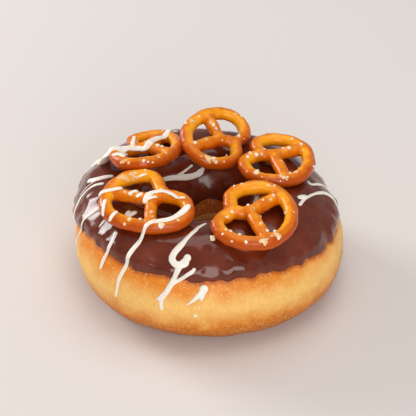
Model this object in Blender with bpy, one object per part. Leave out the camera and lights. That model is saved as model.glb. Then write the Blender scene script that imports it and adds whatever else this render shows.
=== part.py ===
"""A ring doughnut dipped in chocolate icing, with five salted mini pretzels laid on top.

Sizes are in metres, +Z up. The origin is the middle of the ring on the surface it rests on.
The dough ring, the icing and each pretzel are separate closed bodies.
"""

import math
from collections import namedtuple

import bmesh
import bpy
from mathutils import Euler, Matrix, Vector

MM = 0.001

# The dough ring: a fat round section swept round the hole.
RING_RADIUS = 29.5 * MM          # from the ring's axis to the middle of its section
HALF_WIDTH = 18.1 * MM           # half the section's width at its widest level
EQUATOR = 16.2 * MM              # height of that widest level above the table
RISE = 20.5 * MM                 # from the widest level up to the crown
DROP = 16.9 * MM                 # from the widest level down to the base, before it is cut flat
TAPER = 0.18                     # how much narrower the section grows towards its crown
TAPER_POWER = 1.5
LEAN = 0.145                     # sideways slip of the crown per unit of height, towards -X
UPPER_POWERS = (2.55, 1.85)      # superellipse powers of the section, (side, crown)
LOWER_POWERS = (2.2, 2.2)        # and below the widest level, (side, base)
DOUGH_ROWS = 24
COLUMNS = 60
NORMAL_STEP = 0.001              # radians either side of a point that its normal is taken over

# Uneven proving of the dough: (waves round the ring, share of the width, phase in degrees).
DOUGH_WAVES = ((1, 0.018, 196), (2, 0.012, 200), (3, 0.044, 3), (4, 0.029, 172))

# The icing: a dipped coat that ends in a soft, wavy rim outside and inside the ring.
ICING_GAP = 0.4 * MM
ICING_THICK = 1.2 * MM
RIM_SWELL = 0.6 * MM             # extra thickness of the rolled outer rim
RIM_PLACE = 0.93                 # where along the coat the swell sits, 0 inner edge, 1 outer edge
RIM_SPREAD = 0.06
EDGE_ROUND = 0.08                # share of the coat over which its edges round off
ICING_ROWS = 14
# How far round the section the coat reaches, in degrees from level: outer rim every 30 degrees.
OUTER_REACH = (20, 21, 24, 26, 27, 25, 22, 41, 39, 35, 33, 25)
INNER_REACH = 165.0
# Small waves of both rims: (waves round the ring, degrees, phase in degrees).
OUTER_RIPPLES = ((11, 0.85, -44), (17, 0.55, 30))
INNER_RIPPLES = ((3, 2.1, 33), (7, 0.9, 90))

# Mini pretzels. Each is a ring with a cleft, a short stem from the cleft to the crossing, and
# two arms from the crossing to the far side. Lengths in millimetres, angles in degrees.
Pretzel = namedtuple("Pretzel", "name half_length half_width skew centre notch notch_width "
                     "notch_shift arms rope arm crossing yaw pitch roll")
PRETZELS = (
    Pretzel("pretzel_front_right", 12.6, 14.8, -0.08, (1.5, -0.4), 5.1, 5.4, -1.6, (62, 50),
            2.25, 2.1, (13.8, -24.2, 41.1), -19, 5.5, 1.5),
    Pretzel("pretzel_right", 11.5, 13.3, -0.02, (1.5, -1.5), 4.9, 4.3, -0.3, (50, 55),
            2.15, 2.0, (22.6, 10.5, 41.1), -16, 1.0, 3.0),
    Pretzel("pretzel_back", 10.2, 13.8, 0.08, (1.1, -0.7), 3.7, 4.0, -3.2, (65, 31),
            2.05, 2.0, (3.9, 18.5, 42.9), 152, 12.4, 17.8),
    Pretzel("pretzel_front_left", 12.0, 14.8, -0.21, (1.2, -0.5), 5.5, 5.6, 1.6, (29, 78),
            2.2, 2.0, (-18.8, -18.7, 42.1), 236, 8.0, -1.5),
    Pretzel("pretzel_back_left", 9.9, 14.5, -0.07, (0.8, -1.6), 6.4, 4.0, -2.0, (88, 10),
            2.0, 1.95, (-21.4, 13.6, 42.8), -22, -12.0, -2.2),
)
ROPE_SIDES = 8
LOOP_STEPS = 30
ARM_STEPS = 3
CLEFT_SHARPNESS = 6.0            # how suddenly the cleft's pull begins on the ring's cleft half
CROSSING_LIFT = 0.4 * MM         # the crossing stands slightly above the ring's plane
STEM_SHARE = 0.97                # the stem's radius against the ring's
STEM_OVERLAP = 1.2 * MM          # how far the stem runs past the crossing, into the arms

DOUGH_COLOUR = (0.72, 0.36, 0.10)
ICING_COLOUR = (0.10, 0.022, 0.012)
PRETZEL_COLOUR = (0.72, 0.22, 0.02)


def clear_scene():
    for item in list(bpy.data.objects):
        bpy.data.objects.remove(item, do_unlink=True)


def plain_material(name, colour, roughness):
    material = bpy.data.materials.new(name)
    material.use_nodes = True
    shader = material.node_tree.nodes["Principled BSDF"]
    shader.inputs["Base Color"].default_value = (*colour, 1.0)
    shader.inputs["Roughness"].default_value = roughness
    shader.inputs["Metallic"].default_value = 0.0
    return material


def add_body(name, points, faces, material):
    """One smooth-shaded closed body, with its faces turned outwards."""
    mesh = bpy.data.meshes.new(name)
    mesh.from_pydata(points, [], faces)
    shape = bmesh.new()
    shape.from_mesh(mesh)
    bmesh.ops.recalc_face_normals(shape, faces=shape.faces)
    shape.to_mesh(mesh)
    shape.free()
    mesh.shade_smooth()
    mesh.materials.append(material)
    body = bpy.data.objects.new(name, mesh)
    bpy.context.collection.objects.link(body)
    return body


def grid_faces(rows, columns, close_rows):
    """Quads over a grid that closes on itself round its columns, and over its rows if asked."""
    faces = []
    for row in range(rows if close_rows else rows - 1):
        below = ((row + 1) % rows) * columns
        for column in range(columns):
            after = (column + 1) % columns
            faces.append((row * columns + column, row * columns + after,
                          below + after, below + column))
    return faces


def signed_power(value, power):
    return math.copysign(abs(value) ** power, value)


def waves_at(around, waves):
    return sum(size * math.cos(count * around - math.radians(phase))
               for count, size, phase in waves)


def dough_width(around):
    return HALF_WIDTH * (1.0 + waves_at(around, DOUGH_WAVES))


def section(turn, half_width):
    """Across and up from the section's middle. turn runs from the outer side over the crown."""
    above = math.sin(turn) > 0.0
    side_power, end_power = UPPER_POWERS if above else LOWER_POWERS
    across = signed_power(math.cos(turn), 2.0 / side_power)
    height = signed_power(math.sin(turn), 2.0 / end_power)
    narrowing = 1.0 - TAPER * max(height, 0.0) ** TAPER_POWER
    return Vector((half_width * across * narrowing, (RISE if above else DROP) * height))


def ring_point(turn, around, proud):
    """A point on the dough's surface, or standing proud of it along the section's normal."""
    half_width = dough_width(around)
    place = section(turn, half_width)
    along = section(turn + NORMAL_STEP, half_width) - section(turn - NORMAL_STEP, half_width)
    outward = Vector((along.y, -along.x)).normalized()
    radius = RING_RADIUS + place.x + proud * outward.x
    level = max(EQUATOR + place.y + proud * outward.y, 0.0)
    return Vector((radius * math.cos(around) - LEAN * (level - EQUATOR),
                   radius * math.sin(around), level))


def make_dough(material):
    points = []
    for row in range(DOUGH_ROWS):
        turn = 2.0 * math.pi * (row + 0.5) / DOUGH_ROWS
        for column in range(COLUMNS):
            points.append(ring_point(turn, 2.0 * math.pi * column / COLUMNS, 0.0))
    return add_body("dough_ring", points, grid_faces(DOUGH_ROWS, COLUMNS, True), material)


def outer_reach(around):
    """The outer rim's place on the section: smooth between the listed ones, with a ripple."""
    step = around / (2.0 * math.pi) * len(OUTER_REACH)
    first = int(step) % len(OUTER_REACH)
    second = (first + 1) % len(OUTER_REACH)
    blend = 0.5 - 0.5 * math.cos(math.pi * (step - int(step)))
    reach = OUTER_REACH[first] * (1.0 - blend) + OUTER_REACH[second] * blend
    return math.radians(reach + waves_at(around, OUTER_RIPPLES))


def inner_reach(around):
    return math.radians(INNER_REACH + waves_at(around, INNER_RIPPLES))


def icing_thickness(share):
    swell = RIM_SWELL * math.exp(-((share - RIM_PLACE) / RIM_SPREAD) ** 2)
    from_edge = min(share, 1.0 - share) / EDGE_ROUND
    rounding = math.sqrt(max(0.0, 1.0 - (1.0 - min(from_edge, 1.0)) ** 2))
    return (ICING_THICK + swell) * rounding


def make_icing(material):
    """Rows run over the coat's outer surface, then back along its underside."""
    shares = [0.5 - 0.5 * math.cos(math.pi * row / ICING_ROWS) for row in range(ICING_ROWS + 1)]
    path = [(share, True) for share in shares] + [(share, False) for share in shares[-2:0:-1]]
    points = []
    for share, outside in path:
        for column in range(COLUMNS):
            around = 2.0 * math.pi * column / COLUMNS
            inner = inner_reach(around)
            turn = inner + (outer_reach(around) - inner) * share
            proud = ICING_GAP + (icing_thickness(share) if outside else 0.0)
            points.append(ring_point(turn, around, proud))
    return add_body("chocolate_icing", points, grid_faces(len(path), COLUMNS, True), material)


def rope(name, line, radius, closed, material):
    """A round rope along a line that lies nearly flat. An open rope gets flat ends."""
    points = []
    count = len(line)
    for index, centre in enumerate(line):
        before = line[index - 1] if closed or index > 0 else centre
        after = line[(index + 1) % count] if closed or index < count - 1 else centre
        along = (after - before).normalized()
        side = Vector((0.0, 0.0, 1.0)).cross(along).normalized()
        up = along.cross(side)
        for corner in range(ROPE_SIDES):
            angle = 2.0 * math.pi * corner / ROPE_SIDES
            points.append(centre + radius * (math.cos(angle) * side + math.sin(angle) * up))
    faces = grid_faces(count, ROPE_SIDES, closed)
    if not closed:
        faces.append(tuple(range(ROPE_SIDES)))
        faces.append(tuple(range((count - 1) * ROPE_SIDES, count * ROPE_SIDES)))
    return add_body(name, points, faces, material)


def loop_point(spec, angle):
    """A point of the ring's centre line, in the pretzel's plane, in metres."""
    along = spec.centre[0] + spec.half_length * math.cos(angle) * (1.0 + spec.skew * math.sin(angle))
    across = spec.centre[1] + spec.half_width * math.sin(angle)
    cleft_side = 1.0 / (1.0 + math.exp(CLEFT_SHARPNESS * math.cos(angle)))
    inward = math.exp(-((across - spec.notch_shift) / spec.notch_width) ** 2)
    along += cleft_side * spec.notch * inward
    return Vector((along, across, 0.0)) * MM


def make_pretzel(spec, material):
    """The ring, with the stem and both arms joined to it by unions."""
    loop = [loop_point(spec, 2.0 * math.pi * step / LOOP_STEPS) for step in range(LOOP_STEPS)]
    body = rope(spec.name, loop, spec.rope * MM, True, material)
    cleft_angle = math.pi - math.asin((spec.notch_shift - spec.centre[1]) / spec.half_width)
    crossing = Vector((0.0, 0.0, CROSSING_LIFT))
    stem_end = crossing + Vector((STEM_OVERLAP, 0.0, 0.0))
    limbs = (("stem", loop_point(spec, cleft_angle), stem_end, spec.rope * STEM_SHARE),
             ("arm_one", loop_point(spec, math.radians(spec.arms[0])), crossing, spec.arm),
             ("arm_two", loop_point(spec, math.radians(-spec.arms[1])), crossing, spec.arm))
    place = Matrix.Translation(Vector(spec.crossing) * MM) @ (
        Euler((math.radians(spec.pitch), 0.0, 0.0)).to_matrix()
        @ Euler((0.0, math.radians(spec.roll), 0.0)).to_matrix()
        @ Euler((0.0, 0.0, math.radians(spec.yaw))).to_matrix()).to_4x4()
    body.matrix_world = place
    for limb_name, start, end, radius in limbs:
        line = [start.lerp(end, step / ARM_STEPS) for step in range(ARM_STEPS + 1)]
        guide = rope(f"{spec.name}_{limb_name}_guide", line, radius * MM, False, material)
        guide.matrix_world = place
        guide.hide_render = True
        guide.display_type = "WIRE"
        union = body.modifiers.new(limb_name, "BOOLEAN")
        union.operation = "UNION"
        union.solver = "EXACT"
        union.object = guide
    return body


clear_scene()
make_dough(plain_material("fried_dough", DOUGH_COLOUR, 0.55))
make_icing(plain_material("chocolate_icing", ICING_COLOUR, 0.2))
pretzel_material = plain_material("baked_pretzel", PRETZEL_COLOUR, 0.35)
for pretzel in PRETZELS:
    make_pretzel(pretzel, pretzel_material)
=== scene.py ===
"""The finish of an iced ring doughnut: fried dough, a glossy chocolate coat, five salted mini
pretzels and a drizzle of white chocolate. Lengths are in metres, +Z up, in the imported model's frame.
"""

import math
import random
from collections import namedtuple

import bpy
from mathutils import Euler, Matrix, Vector, noise
from mathutils.bvhtree import BVHTree


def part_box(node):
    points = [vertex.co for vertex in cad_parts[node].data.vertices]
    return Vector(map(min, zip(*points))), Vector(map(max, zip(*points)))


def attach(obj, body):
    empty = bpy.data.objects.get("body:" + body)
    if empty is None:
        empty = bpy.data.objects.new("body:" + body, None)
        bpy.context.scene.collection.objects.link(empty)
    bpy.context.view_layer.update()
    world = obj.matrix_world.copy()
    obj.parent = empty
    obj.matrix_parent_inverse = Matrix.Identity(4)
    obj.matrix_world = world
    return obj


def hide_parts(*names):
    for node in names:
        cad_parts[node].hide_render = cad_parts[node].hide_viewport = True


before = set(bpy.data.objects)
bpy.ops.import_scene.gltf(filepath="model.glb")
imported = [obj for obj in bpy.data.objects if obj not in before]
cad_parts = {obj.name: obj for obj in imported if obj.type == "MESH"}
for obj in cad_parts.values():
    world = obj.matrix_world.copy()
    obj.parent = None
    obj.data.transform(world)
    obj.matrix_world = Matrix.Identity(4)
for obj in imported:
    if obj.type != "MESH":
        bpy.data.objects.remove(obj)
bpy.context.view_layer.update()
bpy.ops.object.select_all(action="DESELECT")
MM = 0.001


# ---- Dough ring ----
# A ring of yeast dough, proved, then fried floating in oil, one side after the other. Both
# halves brown and the belt that stays above the oil is pale. It rests on its flattened base.

RING_RADIUS = 29.5 * MM               # to the middle of the dough's section
HALF_WIDTH = 18.1 * MM                # of the section
EQUATOR = 16.2 * MM                   # height of its widest place
RISE = 20.5 * MM                      # from there to the crown
DROP = 16.9 * MM                      # and to the base, before it was pressed flat
TAPER = 0.18                          # how much narrower the crown is
TAPER_POWER = 1.5
LEAN = 0.145                          # the ring has risen a little to one side
UPPER_POWERS = (2.55, 1.85)           # 2 is an ellipse; more is squarer: sideways, upwards
LOWER_POWERS = (2.2, 2.2)
NORMAL_STEP = 0.001
# How the width comes and goes round the ring: waves, share of the half width, degrees to the first.
DOUGH_WAVES = ((1, 0.018, 196), (2, 0.012, 200), (3, 0.044, 3), (4, 0.029, 172))
# How far down the section the icing reaches: degrees from level, every 30 degrees round the ring.
OUTER_REACH = (20, 21, 24, 26, 27, 25, 22, 41, 39, 35, 33, 25)
# The scallops of that rim: waves round the ring, degrees of the section, degrees to the first.
OUTER_RIPPLES = ((11, 0.85, -44), (17, 0.55, 30), (29, 0.9, 10), (43, 0.75, 70), (61, 0.5, 20))
STAIN_AND_SHADOW = 5.0                           # degrees below the rim over which the dough is darker: partly the icing's stain, partly painted shadow of the rim
# Width and height of the skin's lumps, from those left by proving down to single blisters.
SKIN_LUMPS = ((14 * MM, 0.4 * MM), (5 * MM, 0.22 * MM), (1.8 * MM, 0.09 * MM))


def signed_power(value, power):
    return math.copysign(abs(value) ** power, value)


def waves_at(around, waves):
    return sum(size * math.cos(count * around - math.radians(phase))
               for count, size, phase in waves)


def section(turn, half_width):
    """Across and up from the middle of the dough's section; turn runs from outside over the crown."""
    above = math.sin(turn) > 0.0
    side_power, end_power = UPPER_POWERS if above else LOWER_POWERS
    across = signed_power(math.cos(turn), 2.0 / side_power)
    height = signed_power(math.sin(turn), 2.0 / end_power)
    narrowing = 1.0 - TAPER * max(height, 0.0) ** TAPER_POWER
    return Vector((half_width * across * narrowing, (RISE if above else DROP) * height))


def ring_point(turn, around, proud):
    """A point on the dough, or standing proud of it along the section's normal."""
    half_width = HALF_WIDTH * (1.0 + waves_at(around, DOUGH_WAVES))
    place = section(turn, half_width)
    along = section(turn + NORMAL_STEP, half_width) - section(turn - NORMAL_STEP, half_width)
    outward = Vector((along.y, -along.x)).normalized()
    radius = RING_RADIUS + place.x + proud * outward.x
    level = max(EQUATOR + place.y + proud * outward.y, 0.0)
    return Vector((radius * math.cos(around) - LEAN * (level - EQUATOR),
                   radius * math.sin(around), level))


def outer_reach(around):
    """Where the icing's outer rim lies on the section: smooth between the listed places."""
    step = (around % (2.0 * math.pi)) / (2.0 * math.pi) * len(OUTER_REACH)
    first = int(step) % len(OUTER_REACH)
    second = (first + 1) % len(OUTER_REACH)
    blend = 0.5 - 0.5 * math.cos(math.pi * (step - int(step)))
    reach = OUTER_REACH[first] * (1.0 - blend) + OUTER_REACH[second] * blend
    return math.radians(reach + waves_at(around, OUTER_RIPPLES))


def unevenness(point, patch, height):
    """Soft lumps as wide as patch and up to height proud or sunk, the same on every run."""
    return height * noise.noise(point / patch)


def angles_of(point):
    """Round the ring, and round its section, of a torus's vertex."""
    around = math.atan2(point.y, point.x)
    turn = math.atan2(point.z, math.hypot(point.x, point.y) - RING_RADIUS)
    return around, turn


bpy.ops.mesh.primitive_torus_add(major_segments=300, minor_segments=120,
                                 major_radius=RING_RADIUS, minor_radius=HALF_WIDTH)
dough = bpy.context.object
dough.name = "fried_dough_ring"
below_rim = dough.data.attributes.new("below_rim", "FLOAT", "POINT")
for vertex in dough.data.vertices:
    around, turn = angles_of(vertex.co)
    bare = ring_point(turn, around, 0.0)
    lumps = sum(unevenness(bare, patch, lump) for patch, lump in SKIN_LUMPS)
    if turn < math.pi / 2.0:
        below_rim.data[vertex.index].value = math.degrees(outer_reach(around) - turn) / STAIN_AND_SHADOW
    vertex.co = ring_point(turn, around, lumps)
bpy.ops.object.shade_smooth()


def srgb(code):
    """An sRGB hex colour as linear red, green, blue and alpha."""
    channels = [int(code[place:place + 2], 16) / 255.0 for place in (0, 2, 4)]
    return [c / 12.92 if c <= 0.04045 else ((c + 0.055) / 1.055) ** 2.4 for c in channels] + [1.0]


def add_node(tree, kind, inputs, **settings):
    """A node with its settings. inputs gives each socket, by name or number, a value or a link."""
    made = tree.nodes.new("ShaderNode" + kind)
    for name, value in settings.items():
        setattr(made, name, value)
    for socket, value in inputs.items():
        if isinstance(value, bpy.types.NodeSocket):
            tree.links.new(value, made.inputs[socket])
        else:
            made.inputs[socket].default_value = value
    return made


def start_material(name):
    """A material with its node tree and its Principled shader."""
    material = bpy.data.materials.new(name)
    material.use_nodes = True
    return material, material.node_tree, material.node_tree.nodes["Principled BSDF"]


# Fried yeast dough: a dry, slightly oily skin, golden brown where it lay in the oil and creamy
# yellow on the belt. Its fine grain has pale flecks, and soft light comes back out of the crumb.
material, tree, shader = start_material("fried_dough")
place = add_node(tree, "TexCoord", {}).outputs["Object"]
height = add_node(tree, "SeparateXYZ", {0: place}).outputs["Z"]
drift = add_node(tree, "TexNoise", {"Vector": place, "Scale": 1 / (7 * MM), "Detail": 6.0}).outputs["Fac"]
level = add_node(tree, "Math", {0: drift, 1: 9 * MM, 2: height}, operation="MULTIPLY_ADD").outputs[0]
out_of_oil = add_node(tree, "MapRange", {"Value": level, 1: 13.5 * MM, 2: 23.0 * MM},
                      interpolation_type="SMOOTHSTEP").outputs[0]
under_coat = add_node(tree, "MapRange", {"Value": level, 1: 23.0 * MM, 2: 31.0 * MM},
                      interpolation_type="SMOOTHSTEP").outputs[0]
at_base = add_node(tree, "MapRange", {"Value": level, 1: 16.0 * MM, 2: 8.0 * MM}).outputs[0]
# Just under the icing's rim the dough is darker: partly the icing's stain, partly painted shadow of the rim.
stain_and_shadow = add_node(tree, "Attribute", {}, attribute_name="below_rim").outputs["Fac"]
at_rim = add_node(tree, "MapRange", {"Value": stain_and_shadow, 1: 1.0, 2: 0.1},
                  interpolation_type="SMOOTHSTEP").outputs[0]
fried = add_node(tree, "Mix", {0: at_base, 6: srgb("DA7E10"), 7: srgb("A85008")}, data_type="RGBA").outputs[2]
lower = add_node(tree, "Mix", {0: out_of_oil, 6: fried, 7: srgb("F5C26E")}, data_type="RGBA").outputs[2]
upper = add_node(tree, "Mix", {0: under_coat, 6: lower, 7: srgb("E88414")}, data_type="RGBA").outputs[2]
rimmed = add_node(tree, "Mix", {0: at_rim, 6: upper, 7: srgb("C05A14")}, data_type="RGBA").outputs[2]
blisters = add_node(tree, "TexNoise", {"Vector": place, "Scale": 1 / (1.5 * MM),
                                       "Detail": 6.0}).outputs["Fac"]
golden = add_node(tree, "MapRange", {"Value": blisters, 1: 0.45, 2: 0.72, 3: 0.0, 4: 0.25}).outputs[0]
blistered = add_node(tree, "Mix", {0: golden, 6: rimmed, 7: srgb("DC8626")}, data_type="RGBA").outputs[2]
grain = add_node(tree, "TexNoise", {"Vector": place, "Scale": 1 / (1.0 * MM), "Detail": 4.0,
                                    "Distortion": 1.2}).outputs["Fac"]
flecks = add_node(tree, "MapRange", {"Value": grain, 1: 0.5, 2: 0.72, 3: 0.0, 4: 0.5}).outputs[0]
colour = add_node(tree, "Mix", {0: flecks, 6: blistered, 7: srgb("F9CE80")}, data_type="RGBA").outputs[2]
skin = add_node(tree, "Bump", {"Strength": 0.45, "Distance": 0.25 * MM, "Height": grain}).outputs[0]
tree.links.new(colour, shader.inputs["Base Color"])
tree.links.new(skin, shader.inputs["Normal"])
shader.inputs["Roughness"].default_value = 0.5
shader.inputs["IOR"].default_value = 1.4
shader.inputs["Subsurface Weight"].default_value = 0.15
shader.inputs["Subsurface Scale"].default_value = 2 * MM
shader.inputs["Subsurface Radius"].default_value = (1.0, 0.5, 0.25)
dough.data.materials.append(material)
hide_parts("dough_ring")
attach(dough, "root")


# ---- Chocolate icing ----
# The cooled ring is dipped face down in melted chocolate icing and turned over. The coat sets
# smooth and glossy, thin on the crown, and gathers in a thick, wavy rim where it stopped running.

ICING_THICK = 1.6 * MM                # from inside the dough's skin, so that no gap shows
ICING_SUNK = 0.1 * MM
RIM_SWELL = 0.6 * MM                  # how much thicker it is where it gathered
RIM_PLACE = 0.93                      # shares of the way from the coat's inner edge to its outer one
RIM_SPREAD = 0.06
EDGE_ROUND = 0.08
INNER_REACH = 165.0                   # degrees over the crown and down into the hole
INNER_RIPPLES = ((3, 2.1, 33), (7, 0.9, 90))


def icing_thickness(share):
    swell = RIM_SWELL * math.exp(-((share - RIM_PLACE) / RIM_SPREAD) ** 2)
    from_edge = min(share, 1.0 - share) / EDGE_ROUND
    rounding = math.sqrt(max(0.0, 1.0 - (1.0 - min(from_edge, 1.0)) ** 2))
    return (ICING_THICK + swell) * rounding


# The torus's upper half becomes the coat's outer face and its lower half the underside.
bpy.ops.mesh.primitive_torus_add(major_segments=360, minor_segments=120,
                                 major_radius=RING_RADIUS, minor_radius=HALF_WIDTH)
icing = bpy.context.object
icing.name = "chocolate_icing_coat"
for vertex in icing.data.vertices:
    around, turn = angles_of(vertex.co)
    share = 0.5 + 0.5 * math.cos(turn)
    inner = math.radians(INNER_REACH + waves_at(around, INNER_RIPPLES))
    turn_on_dough = inner + (outer_reach(around) - inner) * share
    proud = -ICING_SUNK
    if turn >= 0.0:
        bare = ring_point(turn_on_dough, around, 0.0)
        near_rim = share ** 3         # the runs show most where the coat stopped
        flow = (1.0 + unevenness(bare, 12 * MM, 0.5) + unevenness(bare, 5 * MM, 0.12 + 0.36 * near_rim)
                + unevenness(bare, 2.5 * MM, 0.14 * near_rim))
        proud += icing_thickness(share) * flow
    vertex.co = ring_point(turn_on_dough, around, proud)
bpy.ops.object.shade_smooth()

# Set chocolate icing: cocoa and sugar in fat. Red-brown, with a soft wet gloss that is uneven
# where the surface ran and settled, and slightly milky where it is thin.
material, tree, shader = start_material("chocolate_icing")
place = add_node(tree, "TexCoord", {}).outputs["Object"]
runs = add_node(tree, "TexNoise", {"Vector": place, "Scale": 1 / (8 * MM), "Detail": 2.0}).outputs["Fac"]
milky = add_node(tree, "MapRange", {"Value": runs, 1: 0.35, 2: 0.7}).outputs[0]
colour = add_node(tree, "Mix", {0: milky, 6: srgb("5E200D"), 7: srgb("74301A")}, data_type="RGBA").outputs[2]
sheen = add_node(tree, "MapRange", {"Value": runs, 1: 0.3, 2: 0.7, 3: 0.08, 4: 0.19}).outputs[0]
ripple = add_node(tree, "TexNoise", {"Vector": place, "Scale": 1 / (4.5 * MM), "Detail": 1.5}).outputs["Fac"]
surface = add_node(tree, "Bump", {"Strength": 0.3, "Distance": 0.3 * MM, "Height": ripple}).outputs[0]
tree.links.new(colour, shader.inputs["Base Color"])
tree.links.new(sheen, shader.inputs["Roughness"])
tree.links.new(surface, shader.inputs["Normal"])
shader.inputs["IOR"].default_value = 1.46
icing.data.materials.append(material)
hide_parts("chocolate_icing")
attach(icing, "root")


# ---- Mini pretzels ----
# Thin ropes of wheat dough, looped and pressed together at the crossing, dipped in lye and baked
# hard. The joins have fused into soft fillets. Each lies where it was dropped on the wet icing.

VOXEL = 0.32 * MM                     # grain of the mesh that joins the ropes into one skin
FILLET_ROUNDS = 26                    # rounds of smoothing that fill the joins
SHRUNK = 0.34 * MM                    # given back for what smoothing takes off a rope
KNOT = 0.3 * MM                       # how far the pressed crossing stands proud
KNOT_SPREAD = 1.7 * MM
CREASE = 0.22 * MM                    # the depth of the crease round it
CREASE_PLACE = 2.7 * MM
CREASE_SPREAD = 0.45 * MM
ROPE_LUMPS = ((4.5 * MM, 0.35 * MM), (1.6 * MM, 0.1 * MM))   # width and height
FLANK_START = 9 * MM                  # ropes this far out have a darker outer flank, from the bake and partly painted shade
# Outer flanks darker: browning from the bake, partly painted shade.
BROWN_AND_SHADED_FLANK = 0.7
# Tops paler and undersides darker: painted light and shade.
PAINTED_TOP_LIGHT = 0.35
BROWN_ALL_OVER = 0.26
# Where each pretzel's ropes cross, in millimetres right of and away from the ring's middle.
CROSSINGS = {"pretzel_front_right": (13.8, -24.2), "pretzel_right": (22.6, 10.5),
             "pretzel_back": (3.9, 18.5), "pretzel_front_left": (-18.8, -18.7),
             "pretzel_back_left": (-21.4, 13.6)}


def apply_modifier(piece, kind, **settings):
    """Adds a modifier with its settings and applies it."""
    bpy.context.view_layer.objects.active = piece
    modifier = piece.modifiers.new(kind.lower(), kind)
    for name, value in settings.items():
        setattr(modifier, name, value)
    bpy.ops.object.modifier_apply(modifier=modifier.name)


def smooth_faces(piece):
    piece.data.polygons.foreach_set("use_smooth", [True] * len(piece.data.polygons))
    piece.data.update()


# Hard-baked, lye-dipped dough: a tight, shiny skin, chestnut on the outer flanks, from the bake and partly
# painted shade, and honey yellow in the cleft and where the ropes are thick. The tops are painted lighter
# and the undersides darker: painted light and shade.
material, tree, shader = start_material("baked_pretzel")
place = add_node(tree, "TexCoord", {}).outputs["Object"]
# Per-vertex darkening: the bake, with painted light and shade on the tops, undersides and outer flanks.
bake_and_shade = add_node(tree, "Attribute", {}, attribute_name="browning_and_shade").outputs["Fac"]
blotch = add_node(tree, "TexNoise", {"Vector": place, "Scale": 1 / (4 * MM), "Detail": 3.0}).outputs["Fac"]
uneven = add_node(tree, "Math", {0: blotch, 1: 1.3, 2: bake_and_shade}, operation="MULTIPLY_ADD").outputs[0]
mid = add_node(tree, "MapRange", {"Value": uneven, 1: 0.2, 2: 0.8},
               interpolation_type="SMOOTHSTEP").outputs[0]
dark = add_node(tree, "MapRange", {"Value": uneven, 1: 0.8, 2: 1.4},
                interpolation_type="SMOOTHSTEP").outputs[0]
honey = add_node(tree, "Mix", {0: mid, 6: srgb("FFA618"), 7: srgb("DE7404")}, data_type="RGBA").outputs[2]
colour = add_node(tree, "Mix", {0: dark, 6: honey, 7: srgb("BE4E00")}, data_type="RGBA").outputs[2]
sheen = add_node(tree, "MapRange", {"Value": blotch, 1: 0.3, 2: 0.7, 3: 0.12, 4: 0.28}).outputs[0]
pores = add_node(tree, "TexNoise", {"Vector": place, "Scale": 1 / (0.9 * MM), "Detail": 2.0}).outputs["Fac"]
skin = add_node(tree, "Bump", {"Strength": 0.18, "Distance": 0.15 * MM, "Height": pores}).outputs[0]
tree.links.new(colour, shader.inputs["Base Color"])
tree.links.new(sheen, shader.inputs["Roughness"])
tree.links.new(skin, shader.inputs["Normal"])
shader.inputs["IOR"].default_value = 1.48
shader.inputs["Specular IOR Level"].default_value = 0.32
shader.inputs["Subsurface Weight"].default_value = 0.12
shader.inputs["Subsurface Scale"].default_value = 1.5 * MM
shader.inputs["Subsurface Radius"].default_value = (1.0, 0.45, 0.15)

pretzels = {}
for name, (across, away) in CROSSINGS.items():
    pretzel = bpy.data.objects.new(name + "_baked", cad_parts[name].data.copy())
    pretzel.data.materials.clear()
    bpy.context.scene.collection.objects.link(pretzel)
    bpy.ops.object.select_all(action="DESELECT")
    pretzel.select_set(True)
    bpy.context.view_layer.objects.active = pretzel
    bpy.ops.object.mode_set(mode="EDIT")
    bpy.ops.mesh.select_all(action="SELECT")
    bpy.ops.mesh.remove_doubles(threshold=0.01 * MM)
    bpy.ops.object.mode_set(mode="OBJECT")
    apply_modifier(pretzel, "REMESH", mode="VOXEL", voxel_size=VOXEL)
    apply_modifier(pretzel, "SMOOTH", factor=0.5, iterations=FILLET_ROUNDS)
    low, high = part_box(name)
    middle = (low + high) / 2.0
    browning_and_shade = pretzel.data.attributes.new("browning_and_shade", "FLOAT", "POINT")
    normals = [vertex.normal.copy() for vertex in pretzel.data.vertices]
    for vertex, normal in zip(pretzel.data.vertices, normals):
        outward = vertex.co - middle
        outward.z = 0.0
        flank = normal.dot(outward.normalized()) * min(outward.length / FLANK_START, 1.0)
        # Darker outer flanks (the bake and partly painted shade); paler tops and darker undersides (painted
        # light and shade).
        browning_and_shade.data[vertex.index].value = BROWN_AND_SHADED_FLANK * flank - PAINTED_TOP_LIGHT * normal.z + BROWN_ALL_OVER
        from_crossing = math.hypot(vertex.co.x - across * MM, vertex.co.y - away * MM)
        knot = (KNOT * math.exp(-(from_crossing / KNOT_SPREAD) ** 2)
                - CREASE * math.exp(-((from_crossing - CREASE_PLACE) / CREASE_SPREAD) ** 2))
        lumps = sum(unevenness(vertex.co, patch, lump) for patch, lump in ROPE_LUMPS)
        vertex.co += normal * (lumps + SHRUNK + knot)
    smooth_faces(pretzel)
    pretzel.data.materials.append(material)
    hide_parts(name)
    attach(pretzel, "root")
    pretzels[name] = pretzel


# ---- Pretzel salt ----
# Coarse compacted salt, scattered on the wet dough before it is baked, so that the grains sit a
# little way into the crust. Grains near the join of two ropes have run together into pale crusts.

GRAIN_SIZE = 0.85 * MM
SUNK = 0.3                            # share of a grain's size that is in the crust
SMALL_GRAINS = 5                      # on each pretzel besides the listed ones
FROM_ABOVE = 70 * MM                  # grains are dropped from here
TO_CRUST = 27 * MM                    # the fall from there to about the top of a pretzel
DOWN = Vector((0.0, 0.0, -1.0))
ICING_GRAIN = Vector((1.4 * MM, -34.1 * MM, FROM_ABOVE))   # the one that missed the pretzels
ICING_GRAIN_SIZE = 1.9 * MM
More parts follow.
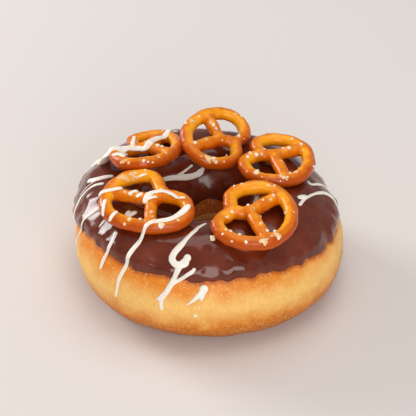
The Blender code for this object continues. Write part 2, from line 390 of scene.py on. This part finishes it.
# Large grains: millimetres to the right of each pretzel's crossing, away from it, and the size.
GRAINS = {
    "pretzel_front_right": ((-5, 11, 1), (6.5, 11.5, 1), (8.5, 11.5, 0.9), (8, 6.5, 1.3), (7, 4.5, 1.3),
                            (4.5, 3.5, 0.8), (-0.5, 1, 0.9), (-6, -2, 1.4), (-7.5, -4, 1.1), (12, -1.5, 1),
                            (14.5, -2, 0.8), (-6.5, -12.5, 0.9), (-3.5, -13.5, 1.4), (3.5, -8.5, 1.1),
                            (5.5, -11.5, 1), (8, -12, 1.4), (-6, -16, 1), (-1.5, -17, 1.1), (4, -17.5, 1),
                            (9, -14.5, 1.2), (-8, -12, 0.9), (-9.5, -14, 0.8), (-2.5, 12, 0.9)),
    "pretzel_front_left": ((-9, 2, 0.9), (-7, 1, 0.9), (-5, 2, 1), (-1.5, 1, 0.9), (-7, -11.5, 1.2),
                           (-3.5, -11.5, 1), (-8.5, -12.5, 1.1), (3, -14, 1.2), (3.5, -15, 1.7),
                           (9, -12, 1), (0, -8, 1), (0.5, -10, 0.8), (1.5, -12.5, 1.3)),
    "pretzel_back": ((-9.5, 2.5, 1.4), (-11.5, 1.5, 0.9), (-7, 6, 1), (-3, 5, 1), (-1, 2.5, 1), (7, 2, 1.3),
                     (-8.5, -7.5, 1.2), (-4.5, -4.5, 0.9), (-1, -14, 1.1), (-2, 4, 1), (6, 12.5, 0.9),
                     (1, -2, 0.9), (-2, -12.5, 1.2)),
    "pretzel_back_left": ((4, -4, 1.3), (5.5, -5, 1.1), (7, -10.5, 1), (-0.5, -16.5, 1.3), (1, -16.5, 1.1),
                          (2.5, -16, 0.9), (4.5, -13.5, 1)),
    "pretzel_right": ((-8, -2, 1.2), (-9, -4, 1.3), (-6, -2, 1.3), (-4, -1, 1), (-6, -13.5, 1.5), (-3, 1, 1),
                      (3.5, 1.5, 1.2), (5.5, 2, 1.2), (5.5, -13, 1), (7.5, -12.5, 1), (10, 5, 1),
                      (7, 8.5, 1.1), (3, -16, 0.9), (4.5, -15.5, 0.9), (-5.5, -11.5, 0.9)),
}
# Crusts where salt has run together: the same measures, and the crust's width.
CRUSTS = {
    "pretzel_front_right": ((4, -16.5, 3.4), (9, -14, 2.6)),
    "pretzel_front_left": ((-9.5, 9.5, 4.2), (-6.5, 10.5, 4.2)),
    "pretzel_back": ((-3.5, -12.5, 4), (-9, 3, 2.6)),
    "pretzel_back_left": ((-7, -16, 3.6),),
    "pretzel_right": ((3.5, -15.5, 3),),
}

bpy.ops.object.select_all(action="DESELECT")
bpy.ops.mesh.primitive_cube_add(size=1.0)
grain_shape = bpy.context.object
apply_modifier(grain_shape, "BEVEL", width=0.22, segments=2, limit_method="NONE")
grain_points = [vertex.co.copy() for vertex in grain_shape.data.vertices]
grain_faces = [tuple(face.vertices) for face in grain_shape.data.polygons]
bpy.data.objects.remove(grain_shape)
salter = random.Random(7)


def surface_tree(pieces):
    """A search tree over the faces of finished pieces."""
    points, faces = [], []
    for piece in pieces:
        start = len(points)
        points += [vertex.co.copy() for vertex in piece.data.vertices]
        faces += [tuple(start + corner for corner in face.vertices) for face in piece.data.polygons]
    return BVHTree.FromPolygons(points, faces)


def add_grain(points, faces, place, normal, size, flat):
    """One grain, turned at random, sunk a little in the crust. flat is its height's share."""
    start = len(points)
    tilt = normal.to_track_quat("Z", "Y").to_matrix()
    spin = Euler((salter.uniform(-0.3, 0.3), salter.uniform(-0.3, 0.3), salter.uniform(0.0, 6.3))).to_matrix()
    shape = [salter.uniform(0.8, 1.15), salter.uniform(0.75, 1.1), salter.uniform(0.7, 1.0) * flat]
    for point in grain_points:
        knocked = Vector(point[axis] * shape[axis] for axis in range(3)) * (1.0 + salter.uniform(-0.12, 0.12))
        points.append(place + normal * (0.5 - SUNK) * flat * size + tilt @ spin @ knocked * size)
    faces += [tuple(start + corner for corner in face) for face in grain_faces]


def add_piece(name, points, faces, material):
    mesh = bpy.data.meshes.new(name)
    mesh.from_pydata(points, [], faces)
    mesh.materials.append(material)
    piece = bpy.data.objects.new(name, mesh)
    bpy.context.scene.collection.objects.link(piece)
    return piece


# Pressed salt: milky white with glassy edges, slightly see-through. Some grains have been warmed
# to a cream by the bake.
material, tree, shader = start_material("pretzel_salt")
place = add_node(tree, "TexCoord", {}).outputs["Object"]
cloud = add_node(tree, "TexNoise", {"Vector": place, "Scale": 1 / (3.5 * MM)}).outputs["Fac"]
baked_in = add_node(tree, "MapRange", {"Value": cloud, 1: 0.4, 2: 0.62}).outputs[0]
colour = add_node(tree, "Mix", {0: baked_in, 6: srgb("FAEEDC"), 7: srgb("F2CC94")},
                  data_type="RGBA").outputs[2]
tree.links.new(colour, shader.inputs["Base Color"])
shader.inputs["Roughness"].default_value = 0.3
shader.inputs["IOR"].default_value = 1.54
shader.inputs["Subsurface Weight"].default_value = 0.2
shader.inputs["Subsurface Scale"].default_value = 1.0 * MM
salt_material = material

# Salt crust: wet salt baked into the skin, so it has taken on some of the pretzel's orange.
material, tree, shader = start_material("salt_crust")
place = add_node(tree, "TexCoord", {}).outputs["Object"]
cloud = add_node(tree, "TexNoise", {"Vector": place, "Scale": 1 / (1.5 * MM), "Detail": 3.0}).outputs["Fac"]
stain = add_node(tree, "MapRange", {"Value": cloud, 1: 0.35, 2: 0.65}).outputs[0]
colour = add_node(tree, "Mix", {0: stain, 6: srgb("F4CF9C"), 7: srgb("E9A85A")}, data_type="RGBA").outputs[2]
tree.links.new(colour, shader.inputs["Base Color"])
shader.inputs["Roughness"].default_value = 0.35
crust_material = material

grain_mesh, crust_mesh = ([], []), ([], [])
for name, pretzel in pretzels.items():
    faces_below = surface_tree([pretzel])
    across, away = CROSSINGS[name]
    for right, back, size in GRAINS[name]:
        start = Vector(((across + right) * MM, (away + back) * MM, FROM_ABOVE))
        place, normal, _, _ = faces_below.ray_cast(start, DOWN)
        if place is None:
            place, normal, _, _ = faces_below.find_nearest(start + DOWN * TO_CRUST)
        knocked_size = size * GRAIN_SIZE * salter.uniform(0.85, 1.3)
        add_grain(*grain_mesh, place, normal, knocked_size, salter.uniform(0.6, 1.0))
    for right, back, width in CRUSTS[name]:
        for _ in range(int(width * 4)):
            spread = width * MM / 2.0
            start = Vector(((across + right) * MM + salter.gauss(0.0, 0.45) * spread,
                            (away + back) * MM + salter.gauss(0.0, 0.3) * spread, FROM_ABOVE))
            place, normal, _, _ = faces_below.ray_cast(start, DOWN)
            if place is not None:
                add_grain(*crust_mesh, place, normal, salter.uniform(0.8, 1.3) * MM, 0.32)
    tops = [vertex for vertex in pretzel.data.vertices if vertex.normal.z > 0.25]
    for _ in range(SMALL_GRAINS):
        vertex = salter.choice(tops)
        add_grain(*grain_mesh, vertex.co, vertex.normal, salter.uniform(0.3, 0.8) * MM, 0.5)
place, normal, _, _ = surface_tree([icing]).ray_cast(ICING_GRAIN, DOWN)
add_grain(*grain_mesh, place, normal, ICING_GRAIN_SIZE, 0.9)
salt = add_piece("pretzel_salt_grains", *grain_mesh, salt_material)
crust = add_piece("pretzel_salt_crusts", *crust_mesh, crust_material)
apply_modifier(crust, "REMESH", mode="VOXEL", voxel_size=0.22 * MM)
apply_modifier(crust, "SMOOTH", factor=0.5, iterations=2)
smooth_faces(crust)
crust.data.materials.append(crust_material)
for piece in (salt, crust):
    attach(piece, "root")


# ---- White chocolate drizzle ----
# Melted white chocolate flicked from a spoon when the pretzels were on. Strands lie over icing,
# pretzels and bare dough alike, sag between them, and end in a thin tail or a round drop.

Strand = namedtuple("Strand", "width start end places")   # mm; shares of it at the ends; degrees
STRANDS = (
    # Over the back left pretzel, from a broad smear to a thin line
    Strand(3.0, 1.4, 0.6, ((154, 44), (154, 58), (158, 72), (166, 86), (162, 92), (157, 97), (151, 102),
                            (146, 106), (130, 103), (117, 99), (104, 86))),
    Strand(3.2, 1.0, 0.8, ((158, 84), (163, 92), (161, 98))),
    Strand(1.5, 1.0, 0.8, ((157, 98), (150, 97), (138, 90))),
    Strand(1.4, 1.0, 0.8, ((144, 117), (126, 117))),
    # The left flank, and on to the front left pretzel
    Strand(1.3, 1.5, 1.0, ((175, 63), (177, 75), (175, 88), (173, 96), (184, 100))),
    Strand(1.2, 0.7, 1.0, ((189, 30), (187, 39), (183, 52), (182, 66), (183, 83))),
    Strand(0.9, 0.6, 0.8, ((181, 47), (179, 60), (178, 72), (175, 84))),
    Strand(1.5, 0.5, 1.2, ((195, 8), (196, 20), (199, 34), (201, 46), (202, 58), (203, 70), (205, 77))),
    Strand(1.7, 1.0, 0.8, ((206, 75), (207, 80), (209, 88), (210, 92))),
    Strand(1.4, 0.8, 1.0, ((220, 67), (218, 72), (214, 78))),
    Strand(1.6, 0.9, 0.8, ((224, 66), (225, 71), (224, 79), (219, 90), (217, 101))),
    Strand(1.0, 0.6, 1.2, ((213, 56), (213, 67))),
    Strand(1.7, 0.6, 0.9, ((222, 22), (223, 35), (226, 50), (225, 65))),
    # The long strand over the front left pretzel's near edge
    Strand(2.1, 0.45, 1.1, ((231, 2), (232, 12), (233, 24), (235, 36), (237, 47), (239, 60), (242, 71),
                            (245, 80), (249, 83), (253, 86), (259, 92), (265, 101))),
    # Bands over the same pretzel's crossing and ropes
    Strand(2.6, 1.0, 0.6, ((231, 93), (230, 98), (231, 103), (238, 107), (246, 107), (254, 106))),
    Strand(1.3, 0.9, 1.2, ((228, 95), (232, 96), (235, 99), (237, 101))),
    Strand(1.5, 0.8, 0.9, ((250, 103), (254, 106), (261, 106))),
    Strand(1.4, 0.8, 0.9, ((202, 104), (203, 107), (205, 110))),
    Strand(1.4, 0.9, 0.9, ((214, 109), (215, 111), (216, 113))),
    Strand(1.9, 1.2, 0.7, ((223, 86), (223, 92), (225, 98))),
    # The far wall of the hole
    Strand(1.8, 0.8, 1.3, ((146, 131), (134, 133), (120, 136), (107, 138), (95, 137), (89, 133))),
    Strand(1.2, 1.0, 0.7, ((125, 134), (110, 131), (99, 127))),
    Strand(1.1, 0.6, 0.9, ((44, 121), (61, 113))),
    # The hook at the front, its tail and its branch down to the belt
    Strand(2.8, 0.35, 1.1, ((276, 101), (273, 97), (268, 88), (264, 79), (261, 70), (258, 62), (257, 55),
                           (259, 50), (262, 51), (264, 56))),
    Strand(1.6, 1.2, 0.9, ((261, 50), (258, 38), (255, 26), (252, 14), (252, 6))),
    Strand(1.3, 1.3, 0.5, ((267, 45), (263, 40), (258, 33), (254, 24), (250, 14))),
    # The splash on the belt
    Strand(1.2, 1.6, 0.3, ((270, 27), (266, 19), (262, 12))),
    Strand(1.2, 1.6, 0.4, ((270, 27), (268, 16))),
    Strand(0.8, 0.7, 0.8, ((267, 12), (267, 7))),
    # The right flank
    Strand(2.0, 0.6, 0.7, ((338, 71), (345, 69), (353, 62), (1, 49), (3, 38), (2, 26))),
    Strand(1.5, 1.3, 0.7, ((345, 74), (349, 67))),
    Strand(1.4, 1.0, 0.6, ((6, 68), (2, 64), (7, 52), (12, 39), (11, 28))),
)
# Round drops: degrees round the ring and round its section, and the width in millimetres.
DROPS = ((160, 95, 3.4), (175, 63, 2.2), (267, 46, 1.4), (264, 57, 2.8), (270, 28, 3.0), (269, 25, 2.4),
         (265, 0, 1.4), (252, 6, 1.3), (345, 74, 2.0), (223, 86, 2.2), (234, 107, 1.6), (89, 133, 1.8))
STEPS = 14                            # between two listed places
SIDES = 12                            # of the tube that a strand starts as
FULLNESS = 1.1                        # a strand's width once it has settled, against its listed one
WANDER = 0.3                          # the share by which the width comes and goes
WANDER_LENGTH = 5 * MM
FLATNESS = 0.3                        # half a strand's height against half its width
BEAD = 0.12 * MM                      # and what is added to the height of any but the thinnest
LIFT = 0.1 * MM                       # the middle of a strand above what carries it
CLEAR_ABOVE = 11 * MM                 # higher over the ring than any pretzel reaches
DROP_ROWS = 8
CLIMB = 1.4                           # the steepest that a strand drops off an edge
SNAP_WIDTH = 2.0                      # a strand thinner than this snaps at a drop of SNAP_DROP
SNAP_DROP = 1.2 * MM
SETTLING = 24                         # rounds of evening out its height
covered = surface_tree([dough, icing, *pretzels.values()])


def laid_on(around, turn):
    """The ring's own point and normal there, and how far above it the topmost surface lies."""
    base = ring_point(turn, around, 0.0)
    normal = (ring_point(turn, around, MM) - base).normalized()
    place, _, _, _ = covered.ray_cast(base + normal * CLEAR_ABOVE, -normal, CLEAR_ABOVE + MM)
    return base, normal, (place - base).dot(normal) if place else 0.0


def smooth_line(places):
    """Even steps along a smooth curve through the places, as radians round ring and section."""
    corners = [Vector(place) for place in places]
    for index in range(1, len(corners)):
        while corners[index].x - corners[index - 1].x > 180:
            corners[index].x -= 360
        while corners[index].x - corners[index - 1].x < -180:
            corners[index].x += 360
    ends = [corners[0] * 2 - corners[1]] + corners + [corners[-1] * 2 - corners[-2]]
    line = []
    for index in range(1, len(ends) - 2):
        before, first, second, after = ends[index - 1:index + 3]
        for step in range(STEPS):
            t = step / STEPS
            line.append(0.5 * (2 * first + (second - before) * t
                               + (2 * before - 5 * first + 4 * second - after) * t ** 2
                               + (3 * first - before - 3 * second + after) * t ** 3))
    line.append(corners[-1])
    return [(math.radians(point.x), math.radians(point.y)) for point in line]


def drape(heights, spacing):
    """Heights along a strand that drops no steeper than it can, and never lies below the surface."""
    draped = list(heights)
    for _ in range(2):
        for index in range(1, len(draped)):
            draped[index] = max(draped[index], draped[index - 1] - CLIMB * spacing[index - 1])
        draped.reverse()
        spacing = spacing[::-1]
    for _ in range(SETTLING):
        draped = [max(here, (before + here + after) / 3.0) for before, here, after in
                  zip([draped[0]] + draped[:-1], draped, draped[1:] + [draped[-1]])]
    return draped


def add_tube(points, faces, line, normals, widths):
    """A flattened tube along a line, closed at both ends."""
    start = len(points)
    for index, centre in enumerate(line):
        along = (line[min(index + 1, len(line) - 1)] - line[max(index - 1, 0)]).normalized()
        side = along.cross(normals[index]).normalized()
        up = side.cross(along)
        half = widths[index] / 2.0
        for corner in range(SIDES):
            angle = 2.0 * math.pi * corner / SIDES
            points.append(centre + side * half * math.cos(angle)
                          + up * (FLATNESS * half + BEAD * min(half / MM, 1.0)) * math.sin(angle))
    for row in range(len(line) - 1):
        for corner in range(SIDES):
            after = (corner + 1) % SIDES
            faces.append((start + row * SIDES + corner, start + row * SIDES + after,
                          start + (row + 1) * SIDES + after, start + (row + 1) * SIDES + corner))
    faces.append(tuple(start + corner for corner in reversed(range(SIDES))))
    faces.append(tuple(start + (len(line) - 1) * SIDES + corner for corner in range(SIDES)))


drizzle_mesh = ([], [])
for strand in STRANDS:
    laid = [laid_on(around, turn) for around, turn in smooth_line(strand.places)]
    cuts = [index for index in range(1, len(laid)) if strand.width < SNAP_WIDTH
            and abs(laid[index][2] - laid[index - 1][2]) > SNAP_DROP]
    for first, last in zip([0] + cuts, cuts + [len(laid)]):
        if last - first < 4:
            continue
        piece = laid[first:last]
        spacing = [(after[0] - before[0]).length for before, after in zip(piece, piece[1:])]
        heights = drape([height for _, _, height in piece], spacing)
        line = [base + normal * (height + LIFT) for (base, normal, _), height in zip(piece, heights)]
        travelled = [0.0]
        for length in spacing:
            travelled.append(travelled[-1] + length)
        widths = []
        for index, distance in enumerate(travelled):
            share = (first + index) / len(laid)
            width = FULLNESS * strand.width * MM * (strand.start * (1.0 - share) + strand.end * share)
            along = Vector((distance / WANDER_LENGTH, strand.places[0][0], 0.5))
            width *= 1.0 + WANDER * noise.noise(along)
            to_end = min(distance, travelled[-1] - distance) / (width / 2.0)
            widths.append(width * max(math.sqrt(1.0 - (1.0 - min(to_end, 1.0)) ** 2), 0.15))
        add_tube(*drizzle_mesh, line, [normal for _, normal, _ in piece], widths)
for around, turn, width in DROPS:
    base, normal, height = laid_on(math.radians(around), math.radians(turn))
    middle = base + normal * (height + LIFT)
    side = normal.orthogonal().normalized()
    slants = [math.pi * row / DROP_ROWS - math.pi / 2 for row in range(DROP_ROWS + 1)]
    rows = [middle + side * width * MM / 2.0 * math.sin(slant) for slant in slants]
    add_tube(*drizzle_mesh, rows, [normal] * len(rows),
             [max(width * MM * math.cos(slant), 0.1 * MM) for slant in slants])

# White chocolate: cocoa butter, milk and sugar. Ivory, opaque, softly shiny once set.
material, tree, shader = start_material("white_chocolate")
place = add_node(tree, "TexCoord", {}).outputs["Object"]
cream = add_node(tree, "TexNoise", {"Vector": place, "Scale": 1 / (3 * MM), "Detail": 2.0}).outputs["Fac"]
colour = add_node(tree, "Mix", {0: cream, 6: srgb("FBF4EA"), 7: srgb("F2E6D4")}, data_type="RGBA").outputs[2]
sheen = add_node(tree, "MapRange", {"Value": cream, 1: 0.3, 2: 0.7, 3: 0.28, 4: 0.42}).outputs[0]
tree.links.new(colour, shader.inputs["Base Color"])
tree.links.new(sheen, shader.inputs["Roughness"])
shader.inputs["IOR"].default_value = 1.46
shader.inputs["Subsurface Weight"].default_value = 0.15
shader.inputs["Subsurface Scale"].default_value = 1.5 * MM
drizzle = add_piece("white_chocolate_drizzle", *drizzle_mesh, material)
apply_modifier(drizzle, "REMESH", mode="VOXEL", voxel_size=0.2 * MM)
apply_modifier(drizzle, "SMOOTH", factor=0.5, iterations=3)
smooth_faces(drizzle)
drizzle.data.materials.append(material)
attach(drizzle, "root")


# ---- Table, light and camera ----
# A pale matt table top, wide enough to be the whole background. A soft lamp stands behind on the
# left like a window, one hangs overhead, and a wide one in front fills the shadows.

bpy.ops.object.select_all(action="DESELECT")
bpy.ops.mesh.primitive_plane_add(size=6.0)
table = bpy.context.object
table.name = "table_top"
material, tree, shader = start_material("pale_table_top")
shader.inputs["Base Color"].default_value = srgb("E0D8D3")
shader.inputs["Roughness"].default_value = 0.75
shader.inputs["Specular IOR Level"].default_value = 0.1
table.data.materials.append(material)


def add_lamp(name, place, size, power):
    """A square soft lamp that faces the middle of the doughnut."""
    bpy.ops.object.light_add(type="AREA", location=place)
    lamp = bpy.context.object
    lamp.name = name
    lamp.data.shape = "SQUARE"
    lamp.data.size = size
    lamp.data.energy = power
    lamp.rotation_euler = (Vector((0.0, 0.0, 0.02)) - Vector(place)).to_track_quat("-Z", "Y").to_euler()


add_lamp("window_lamp", (-0.70, 0.50, 0.36), 0.38, 5.0)
add_lamp("overhead_lamp", (0.1, 0.12, 0.9), 0.7, 2.8)
add_lamp("front_fill_lamp", (0.15, -0.85, 0.42), 0.6, 4.7)
world = bpy.data.worlds.new("studio")
world.use_nodes = True
bpy.context.scene.world = world
background = world.node_tree.nodes["Background"]
lit = add_node(world.node_tree, "LightPath", {}).outputs["Is Camera Ray"]
strength = add_node(world.node_tree, "MapRange", {"Value": lit, 3: 0.38, 4: 0.8}).outputs[0]
background.inputs["Color"].default_value = srgb("FFFFFF")
world.node_tree.links.new(strength, background.inputs["Strength"])

CAMERA_PLACE = (0.0, -0.4915, 0.3621)
CAMERA_DOWN = 34.31                   # degrees below level
bpy.ops.object.camera_add(location=CAMERA_PLACE, rotation=(math.radians(90.0 - CAMERA_DOWN), 0.0, 0.0))
camera = bpy.context.object
camera.data.lens = 147.9
camera.data.sensor_width = 36.0
bpy.context.scene.camera = camera
bpy.context.scene.view_settings.view_transform = "Standard"
